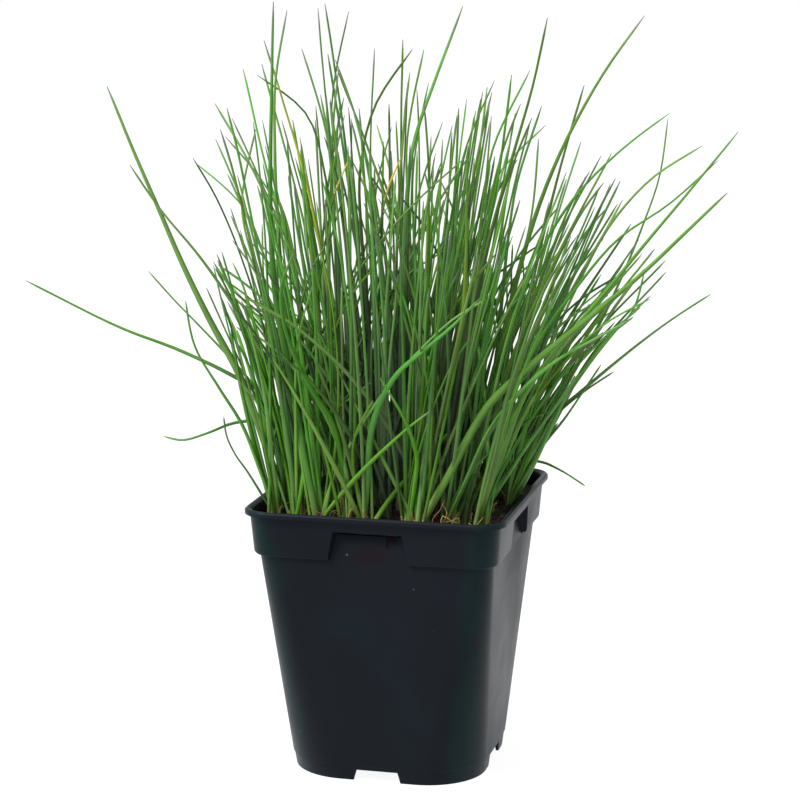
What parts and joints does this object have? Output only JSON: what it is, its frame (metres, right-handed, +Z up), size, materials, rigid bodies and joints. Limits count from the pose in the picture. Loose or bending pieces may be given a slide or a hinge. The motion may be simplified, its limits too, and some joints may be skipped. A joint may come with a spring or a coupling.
{
  "type": "potted chives",
  "caption": "Clump of tall, thin chive leaves fanning out of dark peat in a square black moulded nursery pot with a collar, a rolled lip and drain notches in its foot.",
  "frame": {"origin": "middle of the pot's foot, on the surface that the pot stands on", "axes": "+Z up; the pot's four sides face +X, -X, +Y and -Y; the picture sees the -Y side from 14 degrees towards +X and 12 degrees above"},
  "size_m": [0.2929, 0.1978, 0.3338],
  "materials": {
    "pot": "satin",
    "peat": "matte",
    "leaf": "satin"
  },
  "bodies": {
    "root": {"pot": "pot", "soil": "peat", "shoot_01": "leaf", "shoot_02": "leaf", "shoot_03": "leaf", "shoot_04": "leaf", "shoot_05": "leaf", "shoot_06": "leaf", "shoot_07": "leaf", "shoot_08": "leaf", "shoot_09": "leaf", "shoot_10": "leaf", "shoot_11": "leaf", "shoot_12": "leaf", "shoot_13": "leaf", "shoot_14": "leaf", "shoot_15": "leaf", "shoot_16": "leaf", "shoot_17": "leaf", "shoot_18": "leaf", "shoot_19": "leaf", "shoot_20": "leaf", "shoot_21": "leaf", "shoot_22": "leaf", "shoot_23": "leaf", "shoot_24": "leaf", "shoot_25": "leaf", "shoot_26": "leaf", "shoot_27": "leaf", "shoot_28": "leaf", "shoot_29": "leaf", "shoot_30": "leaf", "shoot_31": "leaf", "shoot_32": "leaf", "shoot_33": "leaf", "shoot_34": "leaf", "shoot_35": "leaf", "shoot_36": "leaf", "shoot_37": "leaf", "shoot_38": "leaf", "shoot_39": "leaf", "shoot_40": "leaf", "shoot_41": "leaf", "shoot_42": "leaf", "shoot_43": "leaf", "shoot_44": "leaf", "shoot_45": "leaf", "shoot_46": "leaf", "shoot_47": "leaf", "shoot_48": "leaf", "shoot_49": "leaf", "shoot_50": "leaf", "shoot_51": "leaf", "shoot_52": "leaf", "shoot_53": "leaf", "shoot_54": "leaf", "shoot_55": "leaf", "shoot_56": "leaf", "shoot_57": "leaf", "shoot_58": "leaf"}
  },
  "joints": []
}
